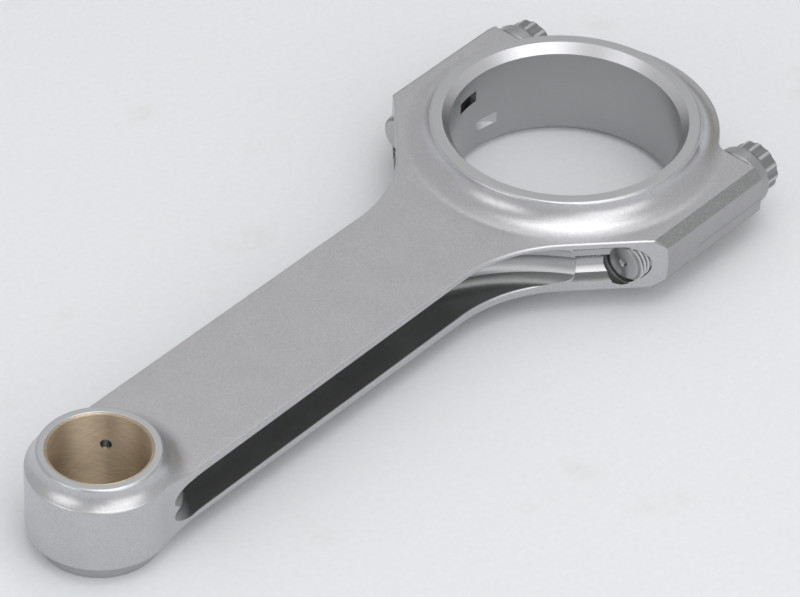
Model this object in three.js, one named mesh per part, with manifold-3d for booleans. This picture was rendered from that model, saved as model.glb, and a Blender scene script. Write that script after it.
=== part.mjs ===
// Connecting rod with an H-section beam, lying flat on its end faces.
// Millimetres, +Z up along both bores, +X from the pin end to the cap.
// Everything is first drawn in a design frame with the crankpin bore axis
// at x = 0, then moved so the origin is the bottom centre of the object.

import * as THREE from "three";
import { mergeVertices } from "three/addons/utils/BufferGeometryUtils.js";
import Module from "manifold-3d";

// ---- driving dimensions -------------------------------------------------

const CENTRES = 172.72; // crankpin bore to pin bore
const THICKNESS = 28.0; // over the thrust faces of both ends
const MID_Z = THICKNESS / 2;
const BODY_HALF = 7.6; // half thickness of the body between the two coves

// crankpin end
const BORE_R = 29.53;
const BORE_CHAMFER_R = 31.42;
const BORE_CHAMFER_DEPTH = 2.5;
const RING_R = 34.6;
const COVE_R = 7.0;
const RING_EDGE = 0.5;
const SIDE_Y = 45.95;
const SIDE_CHAMFER = 2.75;
const SEAT_X = 23.5; // plane under the bolt heads
const STRAP_R = 35.3;
const STRAP_CENTRE_X = 6.8;
const JOINT_GAP = 0.1;

// pin end
const EYE_R = 18.35;
const BOSS_R = 15.4;
const PIN_SEAT_R = 13.27;

// beam
const BEAM_Y = 17.4;
const FLARE_START_X = -59.5;
const FLARE_R = 38;
const FLARE_ANGLE = 43.0; // degrees
const EDGE_BREAK = 0.6;

// side channels
const CHANNEL_HALF = 5.6;
const CHANNEL_EYE_R = 19.0;
const CHANNEL_FILLET = 4;
const WEB_HALF = 2.5;
const FLOOR_FLARE_X = -78.8;
const FLOOR_FLARE_R = 55;
const FLOOR_FLARE_END = 59.9; // degrees
const FACET_DEPTH = 0.65;
const FACET_START_Y = 29.3;
const FACET_END_Y = 37.5;
const CUTTER_R = 3.3;
const SCALLOP_LIMIT_X = -70;
const SCALLOP_DEPTH = 1.4;
const SCALLOP_CORNER_R = 1.6;

// bolts, sleeves and their holes
const BOLT_Y = 37.4;
const BOLT_R = 5.56;
const BOLT_TIP_X = -21.3;
const TIP_CHAMFER = 1.0;
const DIMPLE_R = 1.0;
const FLANGE_R = 8.0;
const FLANGE_RIM = 3.7;
const FLANGE_LENGTH = 4.8;
const HEAD_R = 6.95;
const HEAD_LENGTH = 4.5;
const SHANK_R = 5.2;
const SHANK_START_X = 2;
const HOLE_R = 5.9;
const HOLE_END_X = -21.1;
const RELIEF_R = 6.1;
const RELIEF_END_R = 5.3;
const RELIEF_END_X = -24.1;
const SEAT_SPOT_R = 8.5;
const SLEEVE_INNER_R = 5.9;
const SLEEVE_OUTER_R = 6.6;
const SLEEVE_POCKET_R = 6.72;
const SLEEVE_HALF_LENGTH = 5.0;
const SLEEVE_END_GAP = 0.3;

// bush and oil hole
const BUSH_INNER_R = 12.573;
const BUSH_OUTER_R = 13.15;
const BUSH_CHAMFER = 0.35;
const BUSH_INSET = 0.15;
const OIL_HOLE_R = 1.45;
const OIL_HOLE_ANGLE = 36.3; // degrees from the beam, towards +Y
const OIL_HOLE_Z = 18.3;

// bearing tang notches
const NOTCH_LENGTH = 7.4;
const NOTCH_DEPTH = 1.9;
const NOTCH_HEIGHT = 3.3;
const NOTCH_OFFSET_Z = 5.3;

// tessellation
const BORE_SEGMENTS = 72;
const EYE_SEGMENTS = 44;
const BOLT_SEGMENTS = 28;
const COVE_STEPS = 4;
const CHANNEL_LEVELS = 10;

// ---- small helpers ------------------------------------------------------

const wasm = await Module();
wasm.setup();

const rad = (degrees) => (degrees * Math.PI) / 180;
const EYE_X = -CENTRES;
const HEAD_TOP_X = SEAT_X + FLANGE_LENGTH + HEAD_LENGTH;
const ORIGIN_SHIFT = (CENTRES + EYE_R - STRAP_CENTRE_X - STRAP_R) / 2;

function arc(cx, cy, r, from, to, steps) {
  const points = [];
  for (let i = 0; i <= steps; i += 1) {
    const a = rad(from + ((to - from) * i) / steps);
    points.push([cx + r * Math.cos(a), cy + r * Math.sin(a)]);
  }
  return points;
}

function toManifold(geometry) {
  const bare = new THREE.BufferGeometry();
  bare.setAttribute("position", geometry.getAttribute("position").clone());
  if (geometry.index) bare.setIndex(geometry.index.clone());
  const merged = mergeVertices(bare, 1e-4);
  const mesh = new wasm.Mesh({
    numProp: 3,
    vertProperties: new Float32Array(merged.getAttribute("position").array),
    triVerts: new Uint32Array(merged.index.array),
  });
  return new wasm.Manifold(mesh);
}

function toGeometry(solid) {
  const mesh = solid.getMesh();
  const geometry = new THREE.BufferGeometry();
  const positions = new THREE.BufferAttribute(new Float32Array(mesh.vertProperties), 3);
  geometry.setAttribute("position", positions);
  geometry.setIndex(new THREE.BufferAttribute(new Uint32Array(mesh.triVerts), 1));
  geometry.computeVertexNormals();
  return geometry;
}

function prism(points, z0, z1, edge = 0) {
  const shape = new THREE.Shape(points.map(([x, y]) => new THREE.Vector2(x, y)));
  const geometry = new THREE.ExtrudeGeometry(shape, {
    depth: z1 - z0 - 2 * edge,
    bevelEnabled: edge > 0,
    bevelThickness: edge,
    bevelSize: edge,
    bevelOffset: -edge,
    bevelSegments: 1,
  });
  geometry.translate(0, 0, z0 + edge);
  return toManifold(geometry);
}

// revolved about the vertical line through (x, 0)
function turned(profile, x, segments) {
  const points = profile.map(([r, z]) => new THREE.Vector2(r, z));
  const geometry = new THREE.LatheGeometry(points, segments);
  geometry.rotateX(Math.PI / 2);
  geometry.translate(x, 0, 0);
  return toManifold(geometry);
}

// revolved about the bolt axis: the profile is a list of [x, radius]
function turnedAlongX(profile, y) {
  const points = profile.map(([x, r]) => new THREE.Vector2(r, x));
  const geometry = new THREE.LatheGeometry(points, BOLT_SEGMENTS);
  geometry.rotateZ(-Math.PI / 2);
  geometry.translate(0, y, MID_Z);
  return toManifold(geometry);
}

function rodAlongX(x0, x1, r, y) {
  return turnedAlongX([[x0, 0], [x0, r], [x1, r], [x1, 0]], y);
}

function box(x0, x1, y0, y1, z0, z1) {
  const geometry = new THREE.BoxGeometry(x1 - x0, y1 - y0, z1 - z0);
  geometry.translate((x0 + x1) / 2, (y0 + y1) / 2, (z0 + z1) / 2);
  return toManifold(geometry);
}

// closed solid through equal-length rings, one ring per height
function loft(rings, heights) {
  const count = rings[0].length;
  const positions = rings.flatMap((ring, k) => ring.flatMap(([x, y]) => [x, y, heights[k]]));
  const index = [];
  for (let k = 0; k + 1 < rings.length; k += 1) {
    for (let i = 0; i < count; i += 1) {
      const j = (i + 1) % count;
      const a = k * count + i;
      const b = k * count + j;
      index.push(a, b, b + count, a, b + count, a + count);
    }
  }
  const top = (rings.length - 1) * count;
  const capOf = (ring) => {
    const contour = ring.map(([x, y]) => new THREE.Vector2(x, y));
    return THREE.ShapeUtils.triangulateShape(contour, []);
  };
  capOf(rings[0]).forEach(([a, b, c]) => index.push(a, c, b));
  capOf(rings[rings.length - 1]).forEach(([a, b, c]) => index.push(top + a, top + b, top + c));
  const geometry = new THREE.BufferGeometry();
  geometry.setAttribute("position", new THREE.Float32BufferAttribute(positions, 3));
  geometry.setIndex(index);
  return toManifold(geometry);
}

// ---- outline and body blanks --------------------------------------------

const FLANK = { dx: Math.cos(rad(FLARE_ANGLE)), dy: Math.sin(rad(FLARE_ANGLE)) };
const FLARE_END_X = FLARE_START_X + FLARE_R * FLANK.dy;
const FLARE_END_Y = BEAM_Y + FLARE_R * (1 - FLANK.dx);
const SHOULDER_X = FLARE_END_X + ((SIDE_Y - FLARE_END_Y) * FLANK.dx) / FLANK.dy;

function upperOutline() {
  const junction = 180 - (Math.asin(BEAM_Y / EYE_R) * 180) / Math.PI;
  const eye = arc(EYE_X, 0, EYE_R, 180, 180 - junction, 22);
  const flare = arc(FLARE_START_X, BEAM_Y + FLARE_R, FLARE_R, 270, 270 + FLARE_ANGLE, 9);
  const seatHalf = Math.sqrt(STRAP_R ** 2 - (SEAT_X - STRAP_CENTRE_X) ** 2);
  const strapAngle = (Math.atan2(seatHalf, SEAT_X - STRAP_CENTRE_X) * 180) / Math.PI;
  const strap = arc(STRAP_CENTRE_X, 0, STRAP_R, strapAngle, 0, 12);
  return [...eye, ...flare, [SHOULDER_X, SIDE_Y], [SEAT_X, SIDE_Y], ...strap];
}

function fullOutline() {
  const upper = upperOutline();
  const lower = upper.slice(1, -1).map(([x, y]) => [x, -y]);
  return [...upper, ...lower.reverse()].reverse();
}

// half profile of an end boss: flat face, then the cove down to the body
function bossProfile(faceR) {
  const drop = MID_Z - BODY_HALF;
  const centreZ = MID_Z + BODY_HALF + COVE_R;
  const reach = Math.sqrt(COVE_R ** 2 - (COVE_R - drop) ** 2);
  const centreR = faceR + reach;
  const start = 180 + (Math.asin((COVE_R - drop) / COVE_R) * 180) / Math.PI;
  const cove = arc(centreR, centreZ, COVE_R, start, 270, COVE_STEPS).slice(1);
  const rim = [[faceR - RING_EDGE, THICKNESS], [faceR + 0.02, THICKNESS - RING_EDGE]];
  const top = [...rim, ...cove];
  const bottom = top.map(([r, z]) => [r, THICKNESS - z]).reverse();
  return [[0, THICKNESS], ...top, ...bottom, [0, 0]].reverse();
}

// trims the shoulder sides back to two chamfers and a flat side face
function sideChamfers(solid) {
  const low = MID_Z - BODY_HALF;
  const high = MID_Z + BODY_HALF;
  const inner = SIDE_Y - SIDE_CHAMFER;
  const rightHalf = [
    [inner, 0], [inner, low], [SIDE_Y, low + SIDE_CHAMFER],
    [SIDE_Y, high - SIDE_CHAMFER], [inner, high], [inner, THICKNESS],
  ];
  const leftHalf = rightHalf.map(([y, z]) => [-y, z]).reverse();
  const section = [...rightHalf, ...leftHalf].map(([y, z]) => new THREE.Vector2(y, z));
  const length = CENTRES + EYE_R + 60;
  const geometry = new THREE.ExtrudeGeometry(new THREE.Shape(section), {
    depth: length,
    bevelEnabled: false,
  });
  geometry.rotateX(Math.PI / 2);
  geometry.rotateZ(Math.PI / 2);
  geometry.translate(-CENTRES - EYE_R - 5, 0, 0);
  return solid.intersect(toManifold(geometry));
}

// ---- side channels ------------------------------------------------------

// height of a round-nosed cutter's profile above its lowest point
function cutterRise(offset, radius) {
  return radius - Math.sqrt(Math.max(radius ** 2 - offset ** 2, 0));
}

// two passes of the cutter, one under each flange
function lobeRise(height) {
  return cutterRise(Math.abs(height) - (CHANNEL_HALF - CUTTER_R), CUTTER_R);
}

// a flat floor with rounded corners and one deeper pass along its middle
function scallopRise(height) {
  const corner = Math.abs(height) - (CHANNEL_HALF - SCALLOP_CORNER_R);
  const outer = cutterRise(Math.max(corner, 0), SCALLOP_CORNER_R);
  const middle = cutterRise(height, CUTTER_R) - SCALLOP_DEPTH;
  return Math.abs(height) < CUTTER_R ? Math.min(outer, middle) : outer;
}

function channelFloor() {
  const eyeTop = 78;
  const filletY = WEB_HALF + CHANNEL_FILLET;
  const reach = CHANNEL_EYE_R + CHANNEL_FILLET;
  const turn = (Math.asin(filletY / reach) * 180) / Math.PI;
  const filletX = EYE_X + reach * Math.cos(rad(turn));
  const eye = arc(EYE_X, 0, CHANNEL_EYE_R, eyeTop, turn, 7);
  const fillet = arc(filletX, filletY, CHANNEL_FILLET, 180 + turn, 270, 3).slice(1);
  const centreY = WEB_HALF + FLOOR_FLARE_R;
  const flareEnd = 270 + FLOOR_FLARE_END;
  const flare = arc(FLOOR_FLARE_X, centreY, FLOOR_FLARE_R, 270, flareEnd, 10);
  const facet = [facetPoint(FACET_START_Y), facetPoint(FACET_END_Y)];
  return [...eye, ...fillet, [-110, WEB_HALF], ...flare, ...facet];
}

// on the flat pocket in front of the screw tip, parallel to the flank
function facetPoint(y) {
  const x = FLARE_END_X + ((y - FLARE_END_Y) * FLANK.dx) / FLANK.dy;
  return [x + FACET_DEPTH * FLANK.dy, y - FACET_DEPTH * FLANK.dx];
}

function outwardNormals(points) {
  return points.map((_, i) => {
    const a = points[Math.max(i - 1, 0)];
    const b = points[Math.min(i + 1, points.length - 1)];
    const length = Math.hypot(b[0] - a[0], b[1] - a[1]);
    return [-(b[1] - a[1]) / length, (b[0] - a[0]) / length];
  });
}

function channel() {
  const floor = channelFloor();
  const normals = outwardNormals(floor);
  const end = floor[floor.length - 1];
  const outside = [[end[0] - 8 * FLANK.dy, end[1] + 8 * FLANK.dx], [-60, 52], [-166, 52]];
  const heights = [];
  for (let k = 0; k <= CHANNEL_LEVELS; k += 1) {
    heights.push(CHANNEL_HALF * ((2 * k) / CHANNEL_LEVELS - 1));
  }
  const rings = heights.map((h) => {
    const shifted = floor.map(([x, y], i) => {
      const rise = x < SCALLOP_LIMIT_X ? lobeRise(h) : scallopRise(h);
      const [nx, ny] = i < floor.length - 2 ? normals[i] : [-FLANK.dy, FLANK.dx];
      return [x + nx * rise, y + ny * rise];
    });
    return [...shifted, ...outside];
  });
  return loft(rings, heights.map((h) => h + MID_Z));
}

// ---- holes --------------------------------------------------------------

function boreCut(r, chamferR, chamferDepth, x, segments) {
  const over = 1;
  const slope = (chamferR - r) / chamferDepth;
  const wide = chamferR + over * slope;
  const profile = [
    [0, -over], [wide, -over], [r, chamferDepth], [r, THICKNESS - chamferDepth],
    [wide, THICKNESS + over], [0, THICKNESS + over],
  ];
  return turned(profile, x, segments);
}

function notch(side) {
  const z = MID_Z - side * NOTCH_OFFSET_Z;
  const wallY = Math.sqrt(BORE_R ** 2 - NOTCH_LENGTH ** 2);
  const plan = [
    [0, BORE_R - 3], [side * NOTCH_LENGTH, wallY - 1.5], [side * NOTCH_LENGTH, wallY],
    [0, BORE_R + NOTCH_DEPTH],
  ];
  const ordered = side > 0 ? plan : plan.reverse();
  return prism(ordered, z - NOTCH_HEIGHT / 2, z + NOTCH_HEIGHT / 2);
}

function boltCuts(y) {
  const hole = turnedAlongX([
    [RELIEF_END_X - 1.2, 0], [RELIEF_END_X, RELIEF_END_R], [RELIEF_END_X + 1.6, RELIEF_R],
    [HOLE_END_X, RELIEF_R], [HOLE_END_X, HOLE_R],
    [SEAT_X + 5, HOLE_R], [SEAT_X + 5, 0],
  ], y);
  const sleeve = rodAlongX(-SLEEVE_HALF_LENGTH, SLEEVE_HALF_LENGTH, SLEEVE_POCKET_R, y);
  const seat = rodAlongX(SEAT_X, SEAT_X + 12, SEAT_SPOT_R, y);
  return hole.add(sleeve).add(seat);
}

function oilHole() {
  const geometry = new THREE.CylinderGeometry(OIL_HOLE_R, OIL_HOLE_R, 12, 20);
  geometry.rotateZ(Math.PI / 2);
  geometry.translate(BUSH_OUTER_R + 4, 0, 0);
  geometry.rotateZ(rad(OIL_HOLE_ANGLE));
  geometry.translate(EYE_X, 0, OIL_HOLE_Z);
  return toManifold(geometry);
}

// ---- pieces -------------------------------------------------------------

function forging() {
  const outline = fullOutline();
  const low = MID_Z - BODY_HALF;
  const high = MID_Z + BODY_HALF;
  const plate = prism(outline, low, high, EDGE_BREAK);
  const ends = turned(bossProfile(RING_R), 0, BORE_SEGMENTS)
    .add(turned(bossProfile(BOSS_R), EYE_X, EYE_SEGMENTS))
    .intersect(prism(outline, -1, THICKNESS + 1));
  const blank = sideChamfers(plate.add(ends));
  const left = channel();
  const right = left.mirror([0, 1, 0]);
  return blank
    .subtract(left)
    .subtract(right)
    .subtract(boreCut(BORE_R, BORE_CHAMFER_R, BORE_CHAMFER_DEPTH, 0, BORE_SEGMENTS))
    .subtract(boreCut(PIN_SEAT_R, PIN_SEAT_R + 0.2, 0.3, EYE_X, EYE_SEGMENTS))
    .subtract(boltCuts(BOLT_Y))
    .subtract(boltCuts(-BOLT_Y))
    .subtract(notch(-1))
    .subtract(notch(1))
    .subtract(oilHole());
}

function bush() {
  const low = BUSH_INSET;
  const high = THICKNESS - BUSH_INSET;
  const inner = BUSH_INNER_R;
  const profile = [
    [inner + BUSH_CHAMFER, low], [BUSH_OUTER_R, low], [BUSH_OUTER_R, high],
    [inner + BUSH_CHAMFER, high], [inner, high - BUSH_CHAMFER], [inner, low + BUSH_CHAMFER],
    [inner + BUSH_CHAMFER, low],
  ];
  return turned(profile, EYE_X, EYE_SEGMENTS).subtract(oilHole());
}

function sleeve(y) {
  const x = SLEEVE_HALF_LENGTH - SLEEVE_END_GAP;
  const profile = [
    [-x, SLEEVE_INNER_R], [-x, SLEEVE_OUTER_R], [x, SLEEVE_OUTER_R], [x, SLEEVE_INNER_R],
    [-x, SLEEVE_INNER_R],
  ];
  return turnedAlongX(profile, y);
}

function twelvePoint(x0, x1, y) {
  const valley = (HEAD_R * Math.cos(rad(30))) / Math.cos(rad(15));
  const points = [];
  for (let i = 0; i < 24; i += 1) {
    const r = i % 2 === 0 ? HEAD_R : valley;
    points.push(new THREE.Vector2(r * Math.cos(rad(i * 15)), r * Math.sin(rad(i * 15))));
  }
  const shape = new THREE.Shape(points);
  const geometry = new THREE.ExtrudeGeometry(shape, { depth: x1 - x0, bevelEnabled: false });
  geometry.rotateY(Math.PI / 2);
  geometry.translate(x0, y, MID_Z);
  return toManifold(geometry);
}

function bolt(y) {
  const flangeX = SEAT_X + FLANGE_LENGTH;
  const profile = [
    [BOLT_TIP_X + DIMPLE_R, 0], [BOLT_TIP_X, DIMPLE_R], [BOLT_TIP_X, BOLT_R - TIP_CHAMFER],
    [BOLT_TIP_X + TIP_CHAMFER, BOLT_R], [SHANK_START_X, BOLT_R],
    [SHANK_START_X + 1, SHANK_R], [SEAT_X - 1, SHANK_R], [SEAT_X, SHANK_R + 0.6],
    [SEAT_X, FLANGE_R - 0.6], [SEAT_X + 0.6, FLANGE_R], [SEAT_X + FLANGE_RIM, FLANGE_R],
    [flangeX, HEAD_R - 0.2], [flangeX, 0],
  ];
  const crown = turnedAlongX([
    [flangeX - 1, 0], [flangeX - 1, HEAD_R + 1], [HEAD_TOP_X - 1.2, HEAD_R + 1],
    [HEAD_TOP_X, HEAD_R - 0.9], [HEAD_TOP_X, 0],
  ], y);
  const head = twelvePoint(flangeX - 0.5, HEAD_TOP_X, y).intersect(crown);
  return turnedAlongX(profile, y).add(head);
}

// ---- assembly -----------------------------------------------------------

function material(color, metalness, roughness) {
  return new THREE.MeshStandardMaterial({ color, metalness, roughness });
}

const FORGED = { color: 0xb4b5b8, metalness: 0.9, roughness: 0.45 };
const BRONZE = { color: 0xa5855c, metalness: 0.9, roughness: 0.35 };
const BOLT_STEEL = { color: 0x8a8b8c, metalness: 0.9, roughness: 0.4 };

function part(name, solid, look) {
  const geometry = toGeometry(solid);
  geometry.translate(ORIGIN_SHIFT, 0, 0);
  const mesh = new THREE.Mesh(geometry, material(look.color, look.metalness, look.roughness));
  mesh.name = name;
  return mesh;
}

function build() {
  const group = new THREE.Group();
  group.name = "connecting_rod";
  const whole = forging();
  const half = JOINT_GAP / 2;
  const span = 400;
  const rodSide = box(-span, -half, -100, 100, -10, 60);
  const capSide = box(half, span, -100, 100, -10, 60);
  group.add(part("rod_body", whole.intersect(rodSide), FORGED));
  group.add(part("rod_cap", whole.intersect(capSide), FORGED));
  group.add(part("pin_bushing", bush(), BRONZE));
  group.add(part("alignment_sleeve_left", sleeve(BOLT_Y), BOLT_STEEL));
  group.add(part("alignment_sleeve_right", sleeve(-BOLT_Y), BOLT_STEEL));
  group.add(part("cap_bolt_left", bolt(BOLT_Y), BOLT_STEEL));
  group.add(part("cap_bolt_right", bolt(-BOLT_Y), BOLT_STEEL));
  return group;
}

export default build();
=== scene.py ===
"""Looks of the connecting rod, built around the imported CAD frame.

Shapes are drawn in millimetres in the design frame of the rod, with the crankpin
bore axis at x = 0, and then placed in the row frame in metres.
"""
import math

import bmesh
import bpy
import numpy as np
from mathutils import Matrix, Vector
from mathutils.geometry import delaunay_2d_cdt


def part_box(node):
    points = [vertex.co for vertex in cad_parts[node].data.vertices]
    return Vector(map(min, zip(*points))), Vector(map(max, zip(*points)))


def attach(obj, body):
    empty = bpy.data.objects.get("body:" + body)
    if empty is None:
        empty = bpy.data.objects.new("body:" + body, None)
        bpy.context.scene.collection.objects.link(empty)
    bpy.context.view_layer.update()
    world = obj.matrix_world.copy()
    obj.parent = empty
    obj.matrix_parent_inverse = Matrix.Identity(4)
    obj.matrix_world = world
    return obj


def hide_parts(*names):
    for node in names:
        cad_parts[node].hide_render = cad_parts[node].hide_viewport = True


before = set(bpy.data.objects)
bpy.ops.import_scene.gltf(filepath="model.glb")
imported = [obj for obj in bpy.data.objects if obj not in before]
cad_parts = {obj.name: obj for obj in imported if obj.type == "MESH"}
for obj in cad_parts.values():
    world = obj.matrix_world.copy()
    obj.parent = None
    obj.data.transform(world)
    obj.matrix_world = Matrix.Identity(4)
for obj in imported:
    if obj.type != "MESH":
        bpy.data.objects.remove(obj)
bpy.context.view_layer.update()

# ---- dimensions, mm -----------------------------------------------------

MM = 0.001
CENTRES = 172.72
THICKNESS = 28.0
MID_Z = THICKNESS / 2
BODY_HALF = 7.6
PLATE_Z = MID_Z + BODY_HALF
EYE_X = -CENTRES

BORE_R = 29.53
BORE_CHAMFER_R = 31.42
BORE_CHAMFER_DEPTH = 2.5
RING_R = 34.6
BOSS_R = 15.4
RING_ROUND = 0.65
BIG_COVE_R = 7.0
SMALL_COVE_R = 7.0
PIN_SEAT_R = 13.17
PIN_SEAT_CHAMFER = 0.12

EYE_R = 18.15
EYE_FILLET_R = 25.0
BEAM_Y = 17.4
FLARE_START_X = -59.5
FLARE_R = 38.0
FLARE_ANGLE = math.radians(43.0)
SIDE_Y = 45.94
SIDE_DRAFT = 0.25
SIDE_CHAMFER_Y = 43.2
SEAT_X = 23.5
STRAP_R = 35.3
STRAP_CENTRE_X = 6.8
SEAT_INNER_Y = 33.0
SEAT_FILLET_R = 3.5
EYE_ROUND = 0.35
EDGE_ROUND = 0.55
FLANK_ROUND = 0.6
SHOULDER_ROUND = 0.25
SEAT_ROUND = 0.35

CHANNEL_HALF = 5.6
CHANNEL_EYE_R = 19.0
CHANNEL_FILLET = 4.0
CHANNEL_LEVEL_X = -111.0
CHANNEL_TILT = 0.0096
WEB_HALF = 2.5
FLOOR_FLARE_X = -78.8
FLOOR_FLARE_R = 55.0
FLOOR_FLARE_END = 59.9
FACET_DEPTH = 0.65
FACET_START_Y = 29.3
FACET_END_Y = 37.5
CUTTER_R = 3.3
SCALLOP_DEPTH = 1.4
CUSP = math.sqrt(CUTTER_R ** 2 - (CUTTER_R - SCALLOP_DEPTH) ** 2)
SCALLOP_CORNER_R = 1.6
SCALLOP_LOWER_R = 2.4
SCALLOP_FROM_X = -78.0
SCALLOP_FULL_X = -58.0
CLEAR_OF_FORGING = ((-60, 52), (-166, 52))
LIP_ROUND = 0.45
LIP_TOOL_DROP = 0.3
LIP_TOOL_REACH = 0.5
LIP_FROM_X = -159.5
LIP_TO_X = -37.0

BOLT_Y = 37.4
HOLE_R = 5.9
TAPPED_R = 5.7
TAPPED_END_X = -21.1
RELIEF_R = 6.1
RELIEF_END_R = 5.3
RELIEF_END_X = -24.1
SLEEVE_POCKET_R = 6.72
SLEEVE_POCKET_HALF = 5.0
SLEEVE_R = 6.6
SLEEVE_HALF = 4.7
SPOT_R = 8.5
SPOT_DEPTH = 0.06
BOLT_R = 5.56
BOLT_TIP_X = -21.3
THREAD_END_X = 2.0
THREAD_PITCH = 1.27
THREAD_DEPTH = 0.66
SHANK_R = 5.2
FLANGE_R = 8.0
FLANGE_RIM = 3.7
FLANGE_LENGTH = 4.8
HEAD_R = 6.95
HEAD_LENGTH = 4.5

BUSH_INNER_R = 12.573
BUSH_OUTER_R = 13.15
BUSH_INSET = 0.15
OIL_HOLE_R = 1.45
OIL_HOLE_ANGLE = math.radians(36.3)
OIL_HOLE_Z = 18.3

NOTCH_LENGTH = 7.4
NOTCH_DEPTH = 1.9
NOTCH_HEIGHT = 3.3
NOTCH_OFFSET_Z = 5.3

JOINT_GAP = 0.01

JOINT_CUT_REACH = 300
BORE_STEPS = 180
EYE_STEPS = 120
BOLT_STEPS = 96
BUSH_STEPS = 144
ROUND_STEPS = 5
THREAD_STEPS = 13

# ---- looks --------------------------------------------------------------

PEENED_TINT = (0.995, 0.99, 1.01)
TURNED_TINT = (0.99, 1.0, 1.01)
FORGING_LINE_Z = 12.6
FORGING_LINE_COLOUR = (0.28, 0.28, 0.28, 1.0)
STAIN_COLOUR = (0.50, 0.47, 0.42, 1.0)
# open end of the channel, where the band below the lower cusp is painted darker as shade
WIDE_FROM_X = -85.0
WIDE_TO_X = -60.0
HONING_LEANS = (0.17, -0.17)
THREAD_ROOT_R = 4.95
THREAD_CREST_R = 5.5
HEAD_RIDGE_LOW_R = 6.60
HEAD_RIDGE_HIGH_R = 6.82

# painted shade makes the bearing slot in the rod dark, and the slot in the cap is painted light
NOTCH_PAINTED_LEVEL = {"rod": 0.28, "cap": 0.60}

# ---- studio: angles in degrees, lengths in metres ------------------------

WALL_LIGHT = (0.615, 0.62, 0.63, 1.0)
DIM_CORNER = (0.34, 0.33, 0.30, 1.0)
DIM_TOWARDS = (8, 5)
DIM_OUTER = 30
DIM_INNER = 6
WHITE_LIGHT = (0.99, 0.995, 1.0)
WARM_LIGHT = (1.0, 0.98, 0.95)
LIGHT_DISTANCE = 1.5

# name, azimuth, elevation, width and height, power in watts, colour
SOFTBOXES = [
    ("softbox_right", -100, 24, (1.3, 0.6), 2.6, WHITE_LIGHT),
    ("softbox_left", 170, 24, (0.9, 0.6), 1.9, WHITE_LIGHT),
    ("softbox_right_high", -115, 45, (1.2, 0.6), 2.4, WHITE_LIGHT),
    ("softbox_top", -115, 66, (1.2, 0.8), 2.9, WHITE_LIGHT),
    ("softbox_overhead", -90, 84, (1.1, 0.9), 4.2, WHITE_LIGHT),
    ("softbox_back", 30, 60, (0.8, 0.6), 0.8, WARM_LIGHT),
]

FLOOR_REACH = 6.0
CAMERA_LENS = 289.35
CAMERA_RIGHT = (0.65745535, -0.75316751, 0.02216246)
CAMERA_UP = (0.4719928, 0.43458304, 0.76704653)
CAMERA_FROM_BORE = (-1.007518, -0.79395, 1.037919)

# the parting plane through the bore lies halfway between the CAD rod and cap
BORE_X = (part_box("rod_body")[1].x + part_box("rod_cap")[0].x) / 2 / MM

# surface zones, used as material indices on the two forgings
ZONE_COUNT = 11
PEENED, BORE, CHAMFER, ROUGH, CHANNEL, FACET, MACHINED, RING, TAPPED, SIDE, NOTCH = range(ZONE_COUNT)


# ---- mesh helpers -------------------------------------------------------

def mesh_object(name, verts, faces, zones=0):
    """Object from plain lists, with one material index per face."""
    mesh = bpy.data.meshes.new(name)
    mesh.from_pydata([tuple(map(float, v)) for v in verts], [], faces)
    for _ in range(ZONE_COUNT):
        mesh.materials.append(None)
    values = np.broadcast_to(zones, len(mesh.polygons)).astype(np.int32)
    mesh.polygons.foreach_set("material_index", values)
    mesh.update()
    obj = bpy.data.objects.new(name, mesh)
    bpy.context.scene.collection.objects.link(obj)
    return obj


def outward(obj):
    """Turns all faces of a closed mesh to point out."""
    bm = bmesh.new()
    bm.from_mesh(obj.data)
    bmesh.ops.recalc_face_normals(bm, faces=bm.faces)
    bm.to_mesh(obj.data)
    bm.free()
    return obj


def loft(name, rings, zones=0):
    """Closed solid through equal-length rings of 3-D points, capped at both ends."""
    count = len(rings[0])
    verts = [p for ring in rings for p in ring]
    faces = []
    for k in range(len(rings) - 1):
        for i in range(count):
            j = (i + 1) % count
            faces.append((k * count + i, k * count + j, (k + 1) * count + j, (k + 1) * count + i))
    faces.append(tuple(range(count)))
    faces.append(tuple((len(rings) - 1) * count + i for i in range(count)))
    return outward(mesh_object(name, verts, faces, zones))


def turn_angles(steps):
    """Evenly spaced angles of a full turn."""
    return np.arange(steps) * 2 * math.pi / steps


def turned_x(name, profile, y, steps, zones=0):
    """Solid about the bolt axis at y; the profile is (x, r), where r may vary round the ring."""
    angles = turn_angles(steps)
    rings = []
    for x, r in profile:
        across, up = r * np.cos(angles), r * np.sin(angles)
        rings.append(np.column_stack([np.full(steps, x), y + across, MID_Z + up]))
    return loft(name, rings, zones)


def tube(name, profile, point, steps):
    """Closed ring of revolution: the profile is a closed loop of (r, axial) pairs."""
    verts = [point(r, h, a) for r, h in profile for a in turn_angles(steps)]
    faces = []
    rows = len(profile)
    for k in range(rows):
        n = (k + 1) % rows
        for i in range(steps):
            j = (i + 1) % steps
            faces.append((k * steps + i, k * steps + j, n * steps + j, n * steps + i))
    return outward(mesh_object(name, verts, faces))


def box(name, low, high, zones=0):
    """Closed box used only as a cutting tool."""
    x, y, z = zip(low, high)
    bottom = [(x[0], y[0]), (x[1], y[0]), (x[1], y[1]), (x[0], y[1])]
    return loft(name, [[(a, b, h) for a, b in bottom] for h in z], zones)


def carve(obj, tools, operation="DIFFERENCE"):
    """Applies closed tools to a closed mesh, keeping the tools' material indices."""
    for tool in tools:
        step = obj.modifiers.new("carve", "BOOLEAN")
        step.operation = operation
        step.solver = "MANIFOLD"
        step.object = tool
    bake(obj)
    for tool in tools:
        bpy.data.objects.remove(tool)
    return obj


def bake(obj):
    """Replaces the mesh by the result of the modifiers."""
    bpy.context.view_layer.update()
    evaluated = obj.evaluated_get(bpy.context.evaluated_depsgraph_get())
    mesh = bpy.data.meshes.new_from_object(evaluated)
    obj.modifiers.clear()
    obj.data = mesh


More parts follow.
